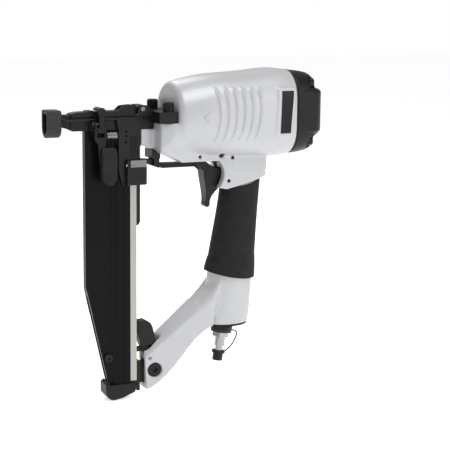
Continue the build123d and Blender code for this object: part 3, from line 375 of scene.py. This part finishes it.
def raised_bar(form, line, width, height, near_y):
    """Adds a rounded bar that follows a line of x, z points over the surface."""
    across = (-0.5, -0.36, -0.12, 0.12, 0.36, 0.5)
    buried = -0.6
    lift = (buried, 0.55, 1.0, 1.0, 0.55, buried)
    rows = []
    for index, (x, z) in enumerate(line):
        before = line[max(index - 1, 0)]
        after = line[min(index + 1, len(line) - 1)]
        along = Vector((after[0] - before[0], after[1] - before[1])).normalized()
        end = index in (0, len(line) - 1)
        row = []
        for share, rise in zip(across, lift):
            px = x + along.y * share * width
            pz = z - along.x * share * width
            row.append(form.verts.new((px, near_y(px, pz) - height * (buried if end else rise), pz)))
        rows.append(row)
    for first, second in zip(rows, rows[1:]):
        for k in range(len(across) - 1):
            form.faces.new((first[k], first[k + 1], second[k + 1], second[k])).smooth = True
        form.faces.new((first[-1], first[0], second[0], second[-1]))
    form.faces.new(rows[0])
    form.faces.new(reversed(rows[-1]))


def arc_points(top, middle, bottom, count):
    """Points on a shallow arc through three points x, z, by a quadratic in z."""
    points = []
    for step in range(count):
        z = top[1] + (bottom[1] - top[1]) * step / (count - 1)
        share_top = (z - middle[1]) * (z - bottom[1]) / ((top[1] - middle[1]) * (top[1] - bottom[1]))
        share_middle = (z - top[1]) * (z - bottom[1]) / ((middle[1] - top[1]) * (middle[1] - bottom[1]))
        share_bottom = (z - top[1]) * (z - middle[1]) / ((bottom[1] - top[1]) * (bottom[1] - middle[1]))
        points.append((top[0] * share_top + middle[0] * share_middle + bottom[0] * share_bottom, z))
    return points


def make_ribs(materials, skin):
    """The six curved ribs and the arrowhead cast on the near flank."""
    near_y = surface_finder(skin)
    form = bmesh.new()
    for index in range(RIB_COUNT):
        bends = [(x + pitch * index, z)
                 for (x, z), pitch in zip((RIB_TOP, RIB_MIDDLE, RIB_FOOT), RIB_PITCHES)]
        raised_bar(form, arc_points(*bends, RIB_POINTS), RIB_WIDTH, RIB_HEIGHT, near_y)
    for end in ARROW_ENDS:
        line = [tuple(Vector(ARROW_TIP).lerp(Vector(end), step / ARROW_STEPS))
                for step in range(ARROW_STEPS + 1)]
        raised_bar(form, line, ARROW_WIDTH, RIB_HEIGHT, near_y)
    bmesh.ops.recalc_face_normals(form, faces=form.faces)
    mesh = bpy.data.meshes.new("flank_ribs")
    form.to_mesh(mesh)
    form.free()
    add_piece("flank_ribs", mesh, "root", "housing_paint", materials)


def make_castings(materials):
    """The housing with its ribs, and the black castings, in place of their CAD forms."""
    skin = cast_skin("housing", CASTING_VOXEL, CASTING_PASSES, BLENDS)
    make_ribs(materials, skin)
    add_piece("housing_casting", skin, "root", "housing_paint", materials, ("housing",))
    for node, name, body, voxel, passes in BLACK_CASTINGS:
        add_piece(name, cast_skin(node, voxel, passes), body, "black_casting", materials, (node,))


# ---------- springs and screws ----------
def make_wire(name, route, radius, roundness, slot, materials, replaced):
    """A round wire along a smooth route, on the root, in place of a CAD node."""
    curve = bpy.data.curves.new(name, "CURVE")
    curve.dimensions = "3D"
    curve.bevel_depth = radius
    curve.bevel_resolution = roundness
    curve.use_fill_caps = True
    spline = curve.splines.new("NURBS")
    spline.points.add(len(route) - 1)
    for point, place in zip(spline.points, route):
        point.co = (*place, 1.0)
    spline.order_u = 3
    spline.use_endpoint_u = True
    curve.materials.append(materials[slot])
    wire = bpy.data.objects.new(name, curve)
    bpy.context.scene.collection.objects.link(wire)
    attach(wire, "root")
    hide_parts(replaced)
    return wire


def make_spring(materials):
    """The contact trip's return spring, wound in place of its plain tube."""
    low, high = (Vector(corner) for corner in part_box("trip_return_spring"))
    middle = (low + high) / 2
    radius = (high.y - low.y) / 2 - SPRING_WIRE_RADIUS
    length = high.x - low.x - 2 * SPRING_WIRE_RADIUS
    steps = SPRING_STEPS_PER_COIL * SPRING_COILS
    route = []
    for step in range(steps):
        angle = 2 * math.pi * step / SPRING_STEPS_PER_COIL
        x = low.x + SPRING_WIRE_RADIUS + length * step / (steps - 1)
        route.append((x, middle.y + radius * math.cos(angle), middle.z + radius * math.sin(angle)))
    make_wire("trip_spring_wire", route, SPRING_WIRE_RADIUS, 3, "bright_steel", materials,
              "trip_return_spring")


def make_knurls(materials):
    """Knurled collars round the heads of the two nose screws."""
    low, high = (Vector(corner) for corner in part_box("nose_screws"))
    spread = (high.y - low.y) / 2 - SCREW_HEAD_RADIUS
    middle_x = (low.x + high.x) / 2
    bottom, top = high.z - KNURL_FOOT, high.z - KNURL_TOP
    around = 4 * KNURL_TEETH
    form = bmesh.new()
    for side in (-1, 1):
        rings = []
        for z, grow in ((bottom, 0.0), (bottom + KNURL_BEVEL, 1.0), (top - KNURL_BEVEL, 1.0), (top, 0.0)):
            ring = []
            for tooth in range(around):
                angle = 2 * math.pi * tooth / around
                reach = KNURL_RADIUS + KNURL_DEPTH * grow * (1 if tooth % 4 in (1, 2) else 0)
                ring.append(form.verts.new((middle_x + reach * math.cos(angle),
                                            side * spread + reach * math.sin(angle), z)))
            rings.append(ring)
        for first, second in zip(rings, rings[1:]):
            for k in range(len(first)):
                following = (k + 1) % len(first)
                form.faces.new((first[k], first[following], second[following], second[k]))
        form.faces.new(reversed(rings[0]))
        form.faces.new(rings[-1])
    mesh = bpy.data.meshes.new("screw_knurls")
    form.to_mesh(mesh)
    form.free()
    add_piece("screw_knurls", mesh, "root", "black_steel", materials)


# ---------- the dust cap's tether ----------
def make_tether(materials):
    """The dust cap's tether, from its ring to the cap."""
    tether = make_wire("cap_tether", TETHER_ROUTE, TETHER_DIAMETER / 2, 4, "seal_rubber", materials,
                       "dust_cap_tether")


aim = make_camera()
make_world()
make_floor()
for name, place, size, power in LIGHTS:
    make_light(name, place, aim, size, power)
materials = make_materials()
paint_nodes(materials)
make_castings(materials)
make_spring(materials)
make_knurls(materials)
make_tether(materials)
